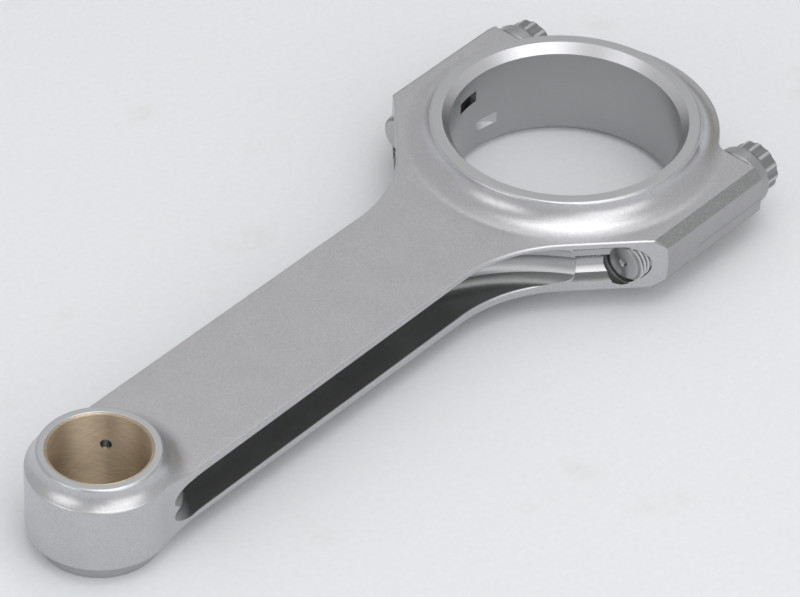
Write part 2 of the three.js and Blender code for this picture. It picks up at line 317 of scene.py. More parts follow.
def clean(obj, merge=0.004):
    """Welds slivers left by the cuts."""
    bm = bmesh.new()
    bm.from_mesh(obj.data)
    bmesh.ops.remove_doubles(bm, verts=bm.verts, dist=merge)
    bmesh.ops.dissolve_degenerate(bm, dist=merge, edges=bm.edges)
    bm.to_mesh(obj.data)
    bm.free()


def shade(obj, angle=28.0):
    """Smooth shading that stays crisp at real edges, with flats kept flat."""
    bm = bmesh.new()
    bm.from_mesh(obj.data)
    limit = math.radians(angle)
    for face in bm.faces:
        face.smooth = True
    for edge in bm.edges:
        edge.smooth = len(edge.link_faces) == 2 and edge.calc_face_angle(0.0) < limit
    bm.to_mesh(obj.data)
    bm.free()
    weighted = obj.modifiers.new("normals", "WEIGHTED_NORMAL")
    weighted.keep_sharp = True
    weighted.weight = 80
    bake(obj)


def place(obj):
    """From the design frame in millimetres to the row frame in metres."""
    obj.data.transform(Matrix.Scale(MM, 4) @ Matrix.Translation((BORE_X, 0, 0)))


def arc(cx, cy, r, start, end, steps):
    """Points of an arc; the angles are in degrees."""
    angles = np.radians(np.linspace(start, end, steps + 1))
    return np.column_stack([cx + r * np.cos(angles), cy + r * np.sin(angles)])


# ---- outline of the forging ---------------------------------------------

FLARE_END = (
    FLARE_START_X + FLARE_R * math.sin(FLARE_ANGLE),
    BEAM_Y + FLARE_R * (1 - math.cos(FLARE_ANGLE)),
)
FLANK_NORMAL = np.array([-math.sin(FLARE_ANGLE), math.cos(FLARE_ANGLE)])
SHOULDER_X = FLARE_END[0] + (SIDE_Y - FLARE_END[1]) / math.tan(FLARE_ANGLE)


def flank_x(y):
    """Where the straight flank is at a distance y from the centre line."""
    return FLARE_END[0] + (y - FLARE_END[1]) / math.tan(FLARE_ANGLE)


def line(a, b, step):
    """Evenly spaced points from a to b, both ends included."""
    a, b = np.array(a, float), np.array(b, float)
    count = max(1, round(float(np.linalg.norm(b - a)) / step))
    return a + (b - a) * np.linspace(0, 1, count + 1)[:, None]


def eye_runs():
    """Runs of points, each with its edge radius, round the pin eye and along the beam."""
    fillet_y = BEAM_Y + EYE_FILLET_R
    neck_x = EYE_X + math.sqrt((EYE_R + EYE_FILLET_R) ** 2 - fillet_y ** 2)
    eye_side = math.degrees(math.atan2(fillet_y, neck_x - EYE_X))
    coarse_x = EYE_X + 16
    return [
        (arc(EYE_X, 0, EYE_R, 180, eye_side, 40), EYE_ROUND),
        (arc(neck_x, fillet_y, EYE_FILLET_R, 180 + eye_side, 270, 8), EYE_ROUND),
        (line((neck_x, BEAM_Y), (coarse_x, BEAM_Y), 0.7), EDGE_ROUND),
        (line((coarse_x, BEAM_Y), (FLARE_START_X, BEAM_Y), 3), EDGE_ROUND),
    ]


def shoulder_runs():
    """Runs from the flare up the flank and round the shoulder to the screw seat."""
    flare_end = 270 + math.degrees(FLARE_ANGLE)
    crease = (flank_x(SIDE_CHAMFER_Y), SIDE_CHAMFER_Y)
    top_y = SIDE_Y - SIDE_DRAFT
    return [
        (arc(FLARE_START_X, BEAM_Y + FLARE_R, FLARE_R, 270, flare_end, 28), EDGE_ROUND),
        (line(FLARE_END, crease, 1), FLANK_ROUND),
        (line(crease, (flank_x(top_y), top_y), 1), SHOULDER_ROUND),
        (line((flank_x(top_y), top_y), (SEAT_X, top_y), 2), SHOULDER_ROUND),
        (line((SEAT_X, top_y), (SEAT_X, SIDE_CHAMFER_Y), 1), SHOULDER_ROUND),
    ]


def strap_runs():
    """Runs from the screw seat round the strap to the centre line."""
    corner_x = SEAT_X + SEAT_FILLET_R
    corner_y = math.sqrt((STRAP_R + SEAT_FILLET_R) ** 2 - (corner_x - STRAP_CENTRE_X) ** 2)
    strap_angle = math.degrees(math.atan2(corner_y, corner_x - STRAP_CENTRE_X))
    return [
        (line((SEAT_X, SIDE_CHAMFER_Y), (SEAT_X, corner_y), 1), SEAT_ROUND),
        (arc(corner_x, corner_y, SEAT_FILLET_R, 180, 180 + strap_angle, 8), SEAT_ROUND),
        (arc(STRAP_CENTRE_X, 0, STRAP_R, strap_angle, 0, 36), EDGE_ROUND),
    ]


def upper_outline():
    """Half outline from the pin eye to the strap, as rows of x, y, edge radius."""
    points = []
    for run, radius in eye_runs() + shoulder_runs() + strap_runs():
        start = 1 if points else 0
        points.extend((x, y, radius) for x, y in run[start:])
    return np.array(points)


def outline():
    """Whole outline, clockwise seen from above, with smoothed edge radii."""
    upper = upper_outline()
    lower = upper[1:-1][::-1] * (1, -1, 1)
    whole = np.vstack([upper, lower])
    radii = whole[:, 2]
    for _ in range(3):
        radii = (np.roll(radii, 1) + 2 * radii + np.roll(radii, -1)) / 4
    whole[:, 2] = np.minimum(radii, whole[:, 2] + 0.25)
    return whole


def inset(points, distances):
    """Closed clockwise loop moved inwards by a distance per vertex, mitred at corners."""
    before = points - np.roll(points, 1, axis=0)
    after = np.roll(points, -1, axis=0) - points
    normals = []
    for step in (before, after):
        step = step / np.linalg.norm(step, axis=1)[:, None]
        normals.append(np.column_stack([-step[:, 1], step[:, 0]]))
    middle = normals[0] + normals[1]
    middle /= np.linalg.norm(middle, axis=1)[:, None]
    stretch = np.sum(middle * normals[0], axis=1)
    moved = points - middle * (distances / stretch)[:, None]
    return keep_crease(points, moved, after)


def keep_crease(points, moved, along):
    """Slides the vertices on the shoulder crease along their edge so the crease stays straight."""
    result = moved.copy()
    for i in np.flatnonzero(np.isclose(np.abs(points[:, 1]), SIDE_CHAMFER_Y, atol=1e-6)):
        target = math.copysign(SIDE_CHAMFER_Y, points[i, 1])
        result[i] += along[i] * (target - moved[i, 1]) / along[i, 1]
    return result


# ---- top surface --------------------------------------------------------

def ring_profile(face_r, cove_r):
    """Radius and height from the flat ring, round its edge and down the cove to the plate."""
    edge = arc(face_r - RING_ROUND, THICKNESS - RING_ROUND, RING_ROUND, 90, 15, 5)
    centre_z = PLATE_Z + cove_r
    lift = centre_z - THICKNESS
    centre_r = face_r + math.sqrt(cove_r ** 2 - lift ** 2)
    start = 180 + math.degrees(math.asin((lift + RING_ROUND) / cove_r))
    cove = arc(centre_r, centre_z, cove_r, start, 270, 16)
    return np.vstack([edge, cove])


BIG_PROFILE = np.vstack([
    [(BORE_R, THICKNESS - BORE_CHAMFER_DEPTH), (BORE_CHAMFER_R, THICKNESS)],
    ring_profile(RING_R, BIG_COVE_R),
])
SMALL_PROFILE = np.vstack([
    [(PIN_SEAT_R, THICKNESS - PIN_SEAT_CHAMFER), (PIN_SEAT_R + PIN_SEAT_CHAMFER, THICKNESS)],
    ring_profile(BOSS_R, SMALL_COVE_R),
])


def height(points):
    """Top surface height before the outer edges are rounded."""
    big = np.interp(np.hypot(points[:, 0], points[:, 1]), *BIG_PROFILE.T)
    small = np.interp(np.hypot(points[:, 0] - EYE_X, points[:, 1]), *SMALL_PROFILE.T)
    beyond = np.maximum(np.abs(points[:, 1]) - SIDE_CHAMFER_Y, 0)
    return np.maximum(big, small) - beyond


def rim_loops(border):
    """Loops of the rounded outer edge, from the wall to the top surface."""
    loops = []
    for k in range(ROUND_STEPS + 1):
        turn = math.radians(90 * k / ROUND_STEPS)
        points = inset(border[:, :2], border[:, 2] * (1 - math.cos(turn)))
        z = height(points) - border[:, 2] * (1 - math.sin(turn))
        loops.append(np.column_stack([points, z]))
    return loops


def inside(points, polygon):
    """Even-odd test of many points against one closed polygon."""
    result = np.zeros(len(points), bool)
    x, y = points[:, 0], points[:, 1]
    for (x0, y0), (x1, y1) in zip(polygon, np.roll(polygon, -1, axis=0)):
        if y0 == y1:
            continue
        crosses = (y0 > y) != (y1 > y)
        result ^= crosses & (x < (x1 - x0) * (y - y0) / (y1 - y0) + x0)
    return result


def circle(x, r, steps):
    """Points round a vertical axis at x."""
    angles = turn_angles(steps)
    return np.column_stack([x + r * np.cos(angles), r * np.sin(angles)])


def field_points(border):
    """Loose points and fixed edges of the area inside the rounded rim."""
    points = [border]
    edges = [(i, (i + 1) % len(border)) for i in range(len(border))]
    total = len(border)
    guard = inset(border, np.full(len(border), 0.35))
    for x, profile, steps in ((0, BIG_PROFILE, BORE_STEPS), (EYE_X, SMALL_PROFILE, EYE_STEPS)):
        for r in profile[:, 0]:
            loop = circle(x, r, steps)
            kept = inside(loop, guard)
            index = np.full(steps, -1)
            index[kept] = total + np.arange(kept.sum())
            for i in range(steps):
                j = (i + 1) % steps
                if kept[i] and kept[j]:
                    edges.append((index[i], index[j]))
            points.append(loop[kept])
            total += int(kept.sum())
    for sign in (1, -1):
        crease = np.flatnonzero(np.isclose(border[:, 1], sign * SIDE_CHAMFER_Y, atol=1e-6))
        edges.append((int(crease[0]), int(crease[-1])))
    return np.vstack(points), edges


def top_field(border):
    """Triangles of the top surface inside the rim, without the two bores."""
    points, edges = field_points(border)
    flat = [Vector(p) for p in points]
    found = delaunay_2d_cdt(flat, [(int(a), int(b)) for a, b in edges], [], 0, 1e-5)
    verts = np.array([tuple(v) for v in found[0]])
    triangles = np.array(found[2])
    centres = verts[triangles].mean(axis=1)
    kept = inside(centres, border)
    kept &= np.hypot(centres[:, 0], centres[:, 1]) > BORE_R - 0.01
    kept &= np.hypot(centres[:, 0] - EYE_X, centres[:, 1]) > PIN_SEAT_R - 0.01
    return verts, triangles[kept]


def top_zones(centres):
    """Zone of each top face from where it is."""
    big = np.hypot(centres[:, 0], centres[:, 1])
    small = np.hypot(centres[:, 0] - EYE_X, centres[:, 1])
    zones = np.full(len(centres), PEENED)
    zones[(big < RING_R - 0.5) | (small < BOSS_R - 0.5)] = RING
    zones[big < BORE_CHAMFER_R] = CHAMFER
    zones[small < PIN_SEAT_R + PIN_SEAT_CHAMFER] = CHAMFER
    zones[np.abs(centres[:, 1]) > SIDE_CHAMFER_Y + 0.01] = ROUGH
    return zones


def half_shell(border):
    """Vertices, faces and zones of the top half, down to the wall and bore loops."""
    loops = rim_loops(border)
    count = len(border)
    verts = np.vstack(loops)
    faces = []
    for k in range(ROUND_STEPS):
        for i in range(count):
            j = (i + 1) % count
            faces.append((k * count + i, k * count + j, (k + 1) * count + j, (k + 1) * count + i))
    plane, triangles = top_field(loops[-1][:, :2])
    lifted = np.column_stack([plane, height(plane)])
    faces.extend(tuple(int(v) + len(verts) for v in t) for t in triangles)
    verts = np.vstack([verts, lifted])
    centres = np.array([verts[list(f)].mean(axis=0) for f in faces])
    return verts, faces, top_zones(centres)


def forging():
    """The rod and cap as one closed solid, before the channels and holes."""
    border = outline()
    verts, faces, zones = half_shell(border)
    below = verts * (1, 1, -1) + (0, 0, THICKNESS)
    count = len(border)
    middle = np.column_stack([border[:, :2], np.full(count, MID_Z)])
    side = np.abs(border[:, 1]) > SIDE_Y - SIDE_DRAFT - 1e-6
    middle[side, 1] = np.sign(border[side, 1]) * SIDE_Y
    corner = side & (np.roll(~side, 1) | np.roll(~side, -1)) & (border[:, 0] < 0)
    middle[corner, 0] = SHOULDER_X
    top, bottom, wall = 0, len(verts), 2 * len(verts)
    everything = np.vstack([verts, below, middle])
    all_faces = faces + [tuple(v + bottom for v in reversed(f)) for f in faces]
    all_zones = list(zones) + list(zones)
    for a, b in ((top, wall), (wall, bottom)):
        for i in range(count):
            j = (i + 1) % count
            all_faces.append((a + j, a + i, b + i, b + j))
            all_zones.append(wall_zone(border[i], border[j]))
    obj = mesh_object("forging", everything, all_faces, all_zones)
    close_bores(obj)
    return obj


def wall_zone(a, b):
    """Zone of the outer wall between two border points."""
    if min(a[0], b[0]) > SEAT_X - 0.01 and abs(a[1]) > SEAT_INNER_Y:
        return MACHINED
    on_side = min(abs(a[1]), abs(b[1])) > SIDE_Y - SIDE_DRAFT - 0.01
    return SIDE if on_side else PEENED


def close_bores(obj):
    """Joins the open bore edges of the top and bottom by straight walls and welds the rest."""
    bm = bmesh.new()
    bm.from_mesh(obj.data)
    bmesh.ops.remove_doubles(bm, verts=bm.verts, dist=0.002)
    for face in bore_walls(bm, [e for e in bm.edges if e.is_boundary]):
        face.material_index = BORE
    bmesh.ops.recalc_face_normals(bm, faces=bm.faces)
    bm.to_mesh(obj.data)
    bm.free()


def bore_walls(bm, edges):
    """One quad under each open edge of the top side."""
    bottom = {}
    for edge in edges:
        for vert in edge.verts:
            if vert.co.z < MID_Z:
                bottom[(round(vert.co.x, 3), round(vert.co.y, 3))] = vert
    faces = []
    for edge in edges:
        a, b = edge.verts
        if a.co.z < MID_Z:
            continue
        under_a = bottom[(round(a.co.x, 3), round(a.co.y, 3))]
        under_b = bottom[(round(b.co.x, 3), round(b.co.y, 3))]
        faces.append(bm.faces.new((a, b, under_b, under_a)))
    return faces


# ---- side channels ------------------------------------------------------

def floor_normals(floor):
    """Unit vectors out of the floor, towards the opening."""
    along = np.gradient(floor, axis=0)
    along /= np.linalg.norm(along, axis=1)[:, None]
    return np.column_stack([-along[:, 1], along[:, 0]])


def curved_floor():
    """Plan curve of the channel floor, from the eye wall to the end of the flare."""
    turn = math.degrees(math.asin((WEB_HALF + CHANNEL_FILLET) / (CHANNEL_EYE_R + CHANNEL_FILLET)))
    fillet_x = EYE_X + (CHANNEL_EYE_R + CHANNEL_FILLET) * math.cos(math.radians(turn))
    eye = arc(EYE_X, 0, CHANNEL_EYE_R, 78, turn, 32)
    fillet = arc(fillet_x, WEB_HALF + CHANNEL_FILLET, CHANNEL_FILLET, 180 + turn, 270, 10)
    straight = line(fillet[-1], (FLOOR_FLARE_X, WEB_HALF), 4)
    flare = arc(FLOOR_FLARE_X, WEB_HALF + FLOOR_FLARE_R, FLOOR_FLARE_R, 270, 270 + FLOOR_FLARE_END, 56)
    return np.vstack([eye, fillet[1:], straight[1:], flare[1:]])


def facet_floor():
    """Plan line of the flat pocket in front of the screw tip, parallel to the flank."""
    along = line((flank_x(FACET_START_Y), FACET_START_Y), (flank_x(FACET_END_Y), FACET_END_Y), 2)
    return along - FLANK_NORMAL * FACET_DEPTH


def cutter_rise(offset, radius=CUTTER_R):
    """Height of a round-nosed cutter's profile above its lowest point."""
    return radius - math.sqrt(max(radius ** 2 - offset ** 2, 0))


def lobe_rise(h):
    """Two passes of the cutter, one under each flange."""
    return cutter_rise(abs(h) - (CHANNEL_HALF - CUTTER_R))


def scallop_rise(h, corner_r):
    """A flat floor with rounded corners and one deeper pass along its middle."""
    outer = cutter_rise(max(abs(h) - (CHANNEL_HALF - corner_r), 0), corner_r)
    middle = cutter_rise(h) - SCALLOP_DEPTH
    return min(outer, middle) if abs(h) < CUTTER_R else outer


def channel_levels():
    """Heights of the channel rings, with rings exactly on the cusps and close at the lips."""
    lobe = CHANNEL_HALF - CUTTER_R
    inner = np.linspace(0, CUSP, 10)
    turns = np.linspace(math.asin((CUSP - lobe) / CUTTER_R), math.pi / 2, 13)
    upper = np.concatenate([inner, (lobe + CUTTER_R * np.sin(turns))[1:]])
    return np.concatenate([-upper[::-1], upper[1:]])


def channel_zones(levels, curved_count, facet_count, extra):
    """One row of zones per pair of levels; the facets get their bright zone only above the lower cusp,
    and below it the dark channel zone as painted shade.
    """
    rows = []
    for high in levels[1:]:
        row = np.full(curved_count + facet_count + extra, CHANNEL)
        if high > -CUSP + 0.01:
            row[curved_count - 1:curved_count + facet_count] = FACET
        rows.append(row)
    return np.append(np.concatenate(rows), [CHANNEL, CHANNEL])


def channel_z(x, h):
    """Height in the part of a level of the channel, which is milled slightly out of parallel."""
    return MID_Z + h + CHANNEL_TILT * (x - CHANNEL_LEVEL_X)


def channel(sign):
    """Cutting tool of one side channel, with its lobed and scalloped floor."""
    curved, facet = curved_floor(), facet_floor()
    floor = np.vstack([curved, facet])
    normals = np.vstack([floor_normals(curved), np.tile(FLANK_NORMAL, (len(facet), 1))])
    share = np.clip((floor[:, 0] - SCALLOP_FROM_X) / (SCALLOP_FULL_X - SCALLOP_FROM_X), 0, 1)
    share = share * share * (3 - 2 * share)
    outside = np.array([floor[-1] + 8 * FLANK_NORMAL, *CLEAR_OF_FORGING])
    rings = []
    for h in channel_levels():
        open_rise = scallop_rise(h, SCALLOP_CORNER_R if h > 0 else SCALLOP_LOWER_R)
        rise = (1 - share) * lobe_rise(h) + share * open_rise
        rise[len(curved):] = scallop_rise(h, SCALLOP_CORNER_R)
        ring = np.vstack([floor + normals * rise[:, None], outside]) * (1, sign)
        rings.append(np.column_stack([ring, channel_z(ring[:, 0], h)]))
    zones = channel_zones(channel_levels(), len(curved), len(facet), len(outside))
    return loft("channel", rings, zones)


def lip(sign, side):
    """Cutting tool that rounds one lip of a channel along the wall of the flange."""
    upper = upper_outline()[:, :2]
    path = upper[(upper[:, 0] > LIP_FROM_X) & (upper[:, 0] < LIP_TO_X)]
    path = path[path[:, 1] < SIDE_CHAMFER_Y]
    normals = floor_normals(path)
    travelled = np.concatenate([[0], np.cumsum(np.linalg.norm(np.diff(path, axis=0), axis=1))])
    from_end = np.minimum(travelled, travelled[-1] - travelled)
    radii = LIP_ROUND * np.clip(0.1 + from_end / 3, 0, 1)
    turns = np.radians(np.linspace(0, 90, 6))
    rings = []
    for point, normal, r in zip(path, normals, radii):
        depth = list(r * (1 - np.sin(turns)))
        drop = list(r * (1 - np.cos(turns)))
        corner = [(depth[0], -LIP_TOOL_DROP)] + list(zip(depth, drop))
        corner += [(-LIP_TOOL_REACH, drop[-1] + LIP_TOOL_DROP), (-LIP_TOOL_REACH, -LIP_TOOL_DROP)]
        ring = []
        for d, h in corner:
            x, y = point - normal * d
            ring.append((x, y * sign, channel_z(x, side * (CHANNEL_HALF + h))))
        rings.append(ring)
    return loft("lip", rings, PEENED)


# ---- holes --------------------------------------------------------------

def bolt_hole(y):
    """Drilled and tapped hole, sleeve pocket and spot face of one screw, as one turned tool."""
    seat = SEAT_X - SPOT_DEPTH
    profile = [
        (RELIEF_END_X - 1.2, 0.01), (RELIEF_END_X, RELIEF_END_R), (RELIEF_END_X + 1.6, RELIEF_R),
        (TAPPED_END_X, RELIEF_R), (TAPPED_END_X, TAPPED_R),
        (-SLEEVE_POCKET_HALF, TAPPED_R), (-SLEEVE_POCKET_HALF, SLEEVE_POCKET_R),
        (SLEEVE_POCKET_HALF, SLEEVE_POCKET_R), (SLEEVE_POCKET_HALF, HOLE_R),
        (seat - 0.4, HOLE_R), (seat, HOLE_R + 0.4),
        (seat, SPOT_R), (SEAT_X + 12, SPOT_R), (SEAT_X + 12, 0.01),
    ]
    bands = np.full(len(profile) - 1, MACHINED)
    # the tapped band gets the dark rough material, painted shade deep in the hole
    bands[3:5] = TAPPED
    zones = np.append(np.repeat(bands, BOLT_STEPS), [MACHINED, MACHINED])
    return turned_x("bolt_hole", profile, y, BOLT_STEPS, zones)


def notch(side):
    """Slot for a bearing tang, from the parting plane into the rod or the cap."""
    z = MID_Z - side * NOTCH_OFFSET_Z
    wall_y = math.sqrt(BORE_R ** 2 - NOTCH_LENGTH ** 2)
    deep = BORE_R + NOTCH_DEPTH
    plan = [(0, BORE_R - 3), (side * NOTCH_LENGTH, wall_y - 1.5)]
    for share in np.linspace(0, 1, 7):
        rise = (deep - wall_y) * math.sin(share * math.pi / 2)
        plan.append((side * NOTCH_LENGTH * (1 - share), wall_y + rise))
    rings = [[(x, y, z + h) for x, y in plan] for h in (-NOTCH_HEIGHT / 2, NOTCH_HEIGHT / 2)]
    return loft("notch", rings, NOTCH)


def oil_hole():
    """Radial hole through the bush and the eye wall."""
    outwards = np.array([math.cos(OIL_HOLE_ANGLE), math.sin(OIL_HOLE_ANGLE), 0])
    across = np.array([-outwards[1], outwards[0], 0])
    up = np.array([0, 0, 1])
    centre = np.array([EYE_X, 0, OIL_HOLE_Z])
    section = [OIL_HOLE_R * (math.cos(a) * across + math.sin(a) * up) for a in turn_angles(32)]
    rings = []
    for reach in (BUSH_INNER_R - 2, BUSH_OUTER_R + 10):
        start = centre + outwards * reach
        rings.append([start + offset for offset in section])
    return loft("oil_hole", rings, MACHINED)


def cut_forging():
    """The whole forging with every channel, hole and slot cut."""
    blank = forging()
    tools = [channel(1), channel(-1)]
    tools += [lip(sign, side) for sign in (1, -1) for side in (1, -1)]
    tools += [bolt_hole(BOLT_Y), bolt_hole(-BOLT_Y), notch(1), notch(-1), oil_hole()]
    return carve(blank, tools)


def split(whole, name, low_x, high_x):
    """Copy of the forging without what lies between the two planes."""
    piece = whole.copy()
    piece.data = whole.data.copy()
    piece.name = name
    bpy.context.scene.collection.objects.link(piece)
    carve(piece, [box("cutter", (low_x, -100, -10), (high_x, 100, 60), MACHINED)])
    clean(piece)
    shade(piece)
    place(piece)
    return piece


# ---- screws, sleeves and bush -------------------------------------------

def star(angles, r):
    """Radius of a twelve-point section with its corners slightly rounded."""
    turn = np.mod(angles, math.pi / 6)
    off = np.minimum(turn, math.pi / 6 - turn)
    flat = r * math.cos(math.pi / 6) / np.cos(math.pi / 6 - off)
    return np.minimum(flat, r * 0.985)


def thread(x, angles):
    """Radius of the helical thread, fading out at both of its ends."""
    turn = np.mod(x / THREAD_PITCH - angles / (2 * math.pi), 1)
    off = np.abs(turn - 0.5) * 2
    groove = np.clip((off - 0.14) / 0.66, 0, 1)
    fade = min(1, (THREAD_END_X - x) / 1.5)
    return BOLT_R - THREAD_DEPTH * max(fade, 0) * groove


def tip_rows():
    """Rows of (x, r) over the centre-drilled tip of a screw."""
    tip = BOLT_TIP_X
    drilled = [(tip + 0.85, 0.02), (tip + 0.8, 0.2), (tip + 0.12, 0.95), (tip, 1.12)]
    return drilled + [(tip, 4.3), (tip + 0.1, 4.5)]


def thread_rows(angles):
    """Rows of (x, radius round the ring) along the thread, chamfered at the tip."""
    start = BOLT_TIP_X + 0.2
    rows = []
    for x in np.linspace(start, THREAD_END_X, int((THREAD_END_X - start) * THREAD_STEPS / THREAD_PITCH)):
        rows.append((x, np.minimum(thread(x, angles), 4.6 + (x - start) * 1.1)))
    return rows


def flange_rows():
    """Rows of (x, r) from the shank over the flange to the foot of the head."""
    rim, end = SEAT_X + FLANGE_RIM, SEAT_X + FLANGE_LENGTH
    return [
        (THREAD_END_X + 0.8, SHANK_R), (SEAT_X - 1.2, SHANK_R), (SEAT_X - 0.5, SHANK_R + 0.2),
        (SEAT_X, SHANK_R + 0.65), (SEAT_X, FLANGE_R - 0.7), (SEAT_X + 0.2, FLANGE_R - 0.45),
        (SEAT_X + 0.45, FLANGE_R - 0.1), (SEAT_X + 0.7, FLANGE_R), (rim - 0.45, FLANGE_R),
        (rim - 0.15, FLANGE_R - 0.09), (rim + 0.05, FLANGE_R - 0.3), (end - 0.1, HEAD_R + 0.12),
    ]


def head_rows(angles):
    """Rows of the twelve-point head, with a rounded crown and a dished top."""
    foot = SEAT_X + FLANGE_LENGTH
    top = foot + HEAD_LENGTH
    shape = star(angles, HEAD_R)
    rows = [(foot + rise, shape - cut) for rise, cut in ((0.0, 0.06), (0.15, 0.0))]
    for drop, cut in ((1.0, 0.0), (0.55, 0.08), (0.2, 0.35), (0.0, 0.8)):
        rows.append((top - drop, np.minimum(shape, HEAD_R - cut)))
    return rows + [(top, 4.6), (top - 0.15, 4.3), (top - 0.3, 2.0), (top - 0.3, 0.02)]


def bolt(name, y):
    """One flanged screw with its thread, as a single closed mesh."""
    angles = turn_angles(BOLT_STEPS)
    rows = tip_rows() + thread_rows(angles) + flange_rows() + head_rows(angles)
    obj = turned_x(name, rows, y, BOLT_STEPS)
    shade(obj, 33)
    place(obj)
    return obj


def bush():
    """Thin bronze ring with broken edges and its oil hole."""
    low, high = BUSH_INSET, THICKNESS - BUSH_INSET
    profile = [
        (BUSH_INNER_R + 0.30, low), (BUSH_OUTER_R - 0.06, low), (BUSH_OUTER_R, low + 0.06),
        (BUSH_OUTER_R, high - 0.06), (BUSH_OUTER_R - 0.06, high), (BUSH_INNER_R + 0.30, high),
        (BUSH_INNER_R + 0.14, high - 0.07), (BUSH_INNER_R, high - 0.32),
        (BUSH_INNER_R, low + 0.32), (BUSH_INNER_R + 0.14, low + 0.07),
    ]

    def about_eye(r, h, a):
        return EYE_X + r * math.cos(a), r * math.sin(a), h

    ring = tube("bush", profile, about_eye, BUSH_STEPS)
    carve(ring, [oil_hole()])
    clean(ring, 0.002)
    shade(ring, 25)
    place(ring)
    return ring


def sleeve(name, y):
    """Hollow dowel around a screw, with chamfered ends."""
    inner, outer, end = HOLE_R, SLEEVE_R, SLEEVE_HALF
    profile = [
        (inner + 0.1, -end), (outer - 0.35, -end), (outer, -end + 0.6), (outer, end - 0.6),
        (outer - 0.35, end), (inner + 0.1, end), (inner, end - 0.12), (inner, -end + 0.12),
    ]

    def about_screw(r, h, a):
        return h, y + r * math.cos(a), MID_Z + r * math.sin(a)

    obj = tube(name, profile, about_screw, BOLT_STEPS)
    shade(obj, 25)
    place(obj)
    return obj


# ---- materials ----------------------------------------------------------

class Graph:
    """Node tree of a material or the world, with short calls for the common nodes."""

    def __init__(self, block):
        block.use_nodes = True
        self.block = block
        self.tree = block.node_tree

    def set(self, socket, value):
        """Links a socket or sets a plain value."""
        if isinstance(value, bpy.types.NodeSocket):
            self.tree.links.new(value, socket)
        else:
            socket.default_value = value

    def add(self, kind, inputs, **settings):
        """New node with its inputs and settings filled in."""
        node = self.tree.nodes.new(kind)
        for key, value in settings.items():
            setattr(node, key, value)
        for key, value in inputs.items():
            self.set(node.inputs[key], value)
        return node

    def math(self, operation, *values):
        return self.add("ShaderNodeMath", dict(enumerate(values)), operation=operation).outputs[0]

    def plus(self, a, b):
        return self.math("ADD", a, b)

    def minus(self, a, b):
        return self.math("SUBTRACT", a, b)

    def times(self, a, b):
        return self.math("MULTIPLY", a, b)

    def hypot(self, a, b):
        return self.math("SQRT", self.plus(self.times(a, a), self.times(b, b)))

    def vector(self, operation, a, b):
        return self.add("ShaderNodeVectorMath", {0: a, 1: b}, operation=operation).outputs[0]

    def join(self, x, y, z):
        return self.add("ShaderNodeCombineXYZ", {0: x, 1: y, 2: z}).outputs[0]

    def apart(self, vector):
        return self.add("ShaderNodeSeparateXYZ", {0: vector}).outputs

    def noise(self, vector, scale, detail=2.0, roughness=0.5):
        inputs = {"Vector": vector, "Scale": scale, "Detail": detail, "Roughness": roughness}
        return self.add("ShaderNodeTexNoise", inputs).outputs["Fac"]

    def cells(self, vector, scale):
        """Distance to the nearest of many scattered points."""
        return self.add("ShaderNodeTexVoronoi", {"Vector": vector, "Scale": scale}).outputs["Distance"]

    def spread(self, value, low, high):
        """Smooth ramp from 0 to 1 between two values, clamped at both ends."""
        inputs = {"Value": value, "From Min": low, "From Max": high}
        return self.add("ShaderNodeMapRange", inputs, interpolation_type="SMOOTHSTEP").outputs[0]

    def mix(self, share, a, b):
        """Colour between a and b."""
        node = self.tree.nodes.new("ShaderNodeMix")
        node.data_type = "RGBA"
        inputs = {"Factor": share, "A": a, "B": b}
        for socket in node.inputs:
            if socket.name in inputs and socket.type in ("RGBA", "VALUE") and socket.enabled:
                self.set(socket, inputs[socket.name])
        return next(s for s in node.outputs if s.enabled)

    def millimetres(self):
        """Position in the design frame, in millimetres."""
        position = self.add("ShaderNodeTexCoord", {}).outputs["Object"]
        scaled = self.vector("MULTIPLY", position, (1 / MM, 1 / MM, 1 / MM))
        return self.vector("SUBTRACT", scaled, (BORE_X, 0, 0))


def rounded_normal(graph, edge):
    """Normal rounded at the edges by a radius in mm, but left sharp along the parting plane."""
    from_joint = graph.math("ABSOLUTE", graph.apart(graph.millimetres())[0])
    away = graph.math("GREATER_THAN", from_joint, 2 * edge)
    radius = graph.times(away, edge * MM)
    return graph.add("ShaderNodeBevel", {"Radius": radius}, samples=4).outputs[0]


def finish(graph, colour, roughness, bumps, metallic=1.0, edge=0.0):
    """Connects colour, roughness and a chain of (height, strength, depth in mm) bumps."""
    inputs = graph.tree.nodes["Principled BSDF"].inputs
    graph.set(inputs["Base Color"], colour)
    graph.set(inputs["Roughness"], roughness)
    graph.set(inputs["Metallic"], metallic)
    normal = rounded_normal(graph, edge) if edge else None
    for height_value, strength, depth in bumps:
        bump = {"Height": height_value, "Strength": strength, "Distance": depth * MM}
        if normal is not None:
            bump["Normal"] = normal
        normal = graph.add("ShaderNodeBump", bump).outputs[0]
    graph.set(inputs["Normal"], normal)
    return graph.block


def varied(graph, level, tint, shares):
    """Colour made of a level and small variations, each a (0 to 1 value, share) pair."""
    total = level
    for value, share in shares:
        shift = graph.times(graph.minus(value, 0.5), share * level)
        total = graph.plus(total, shift)
    return graph.join(*[graph.times(total, t) for t in tint])


def new_material(name):
    """Graph of a new material and the position in millimetres."""
    graph = Graph(bpy.data.materials.new(name))
    return graph, graph.millimetres()


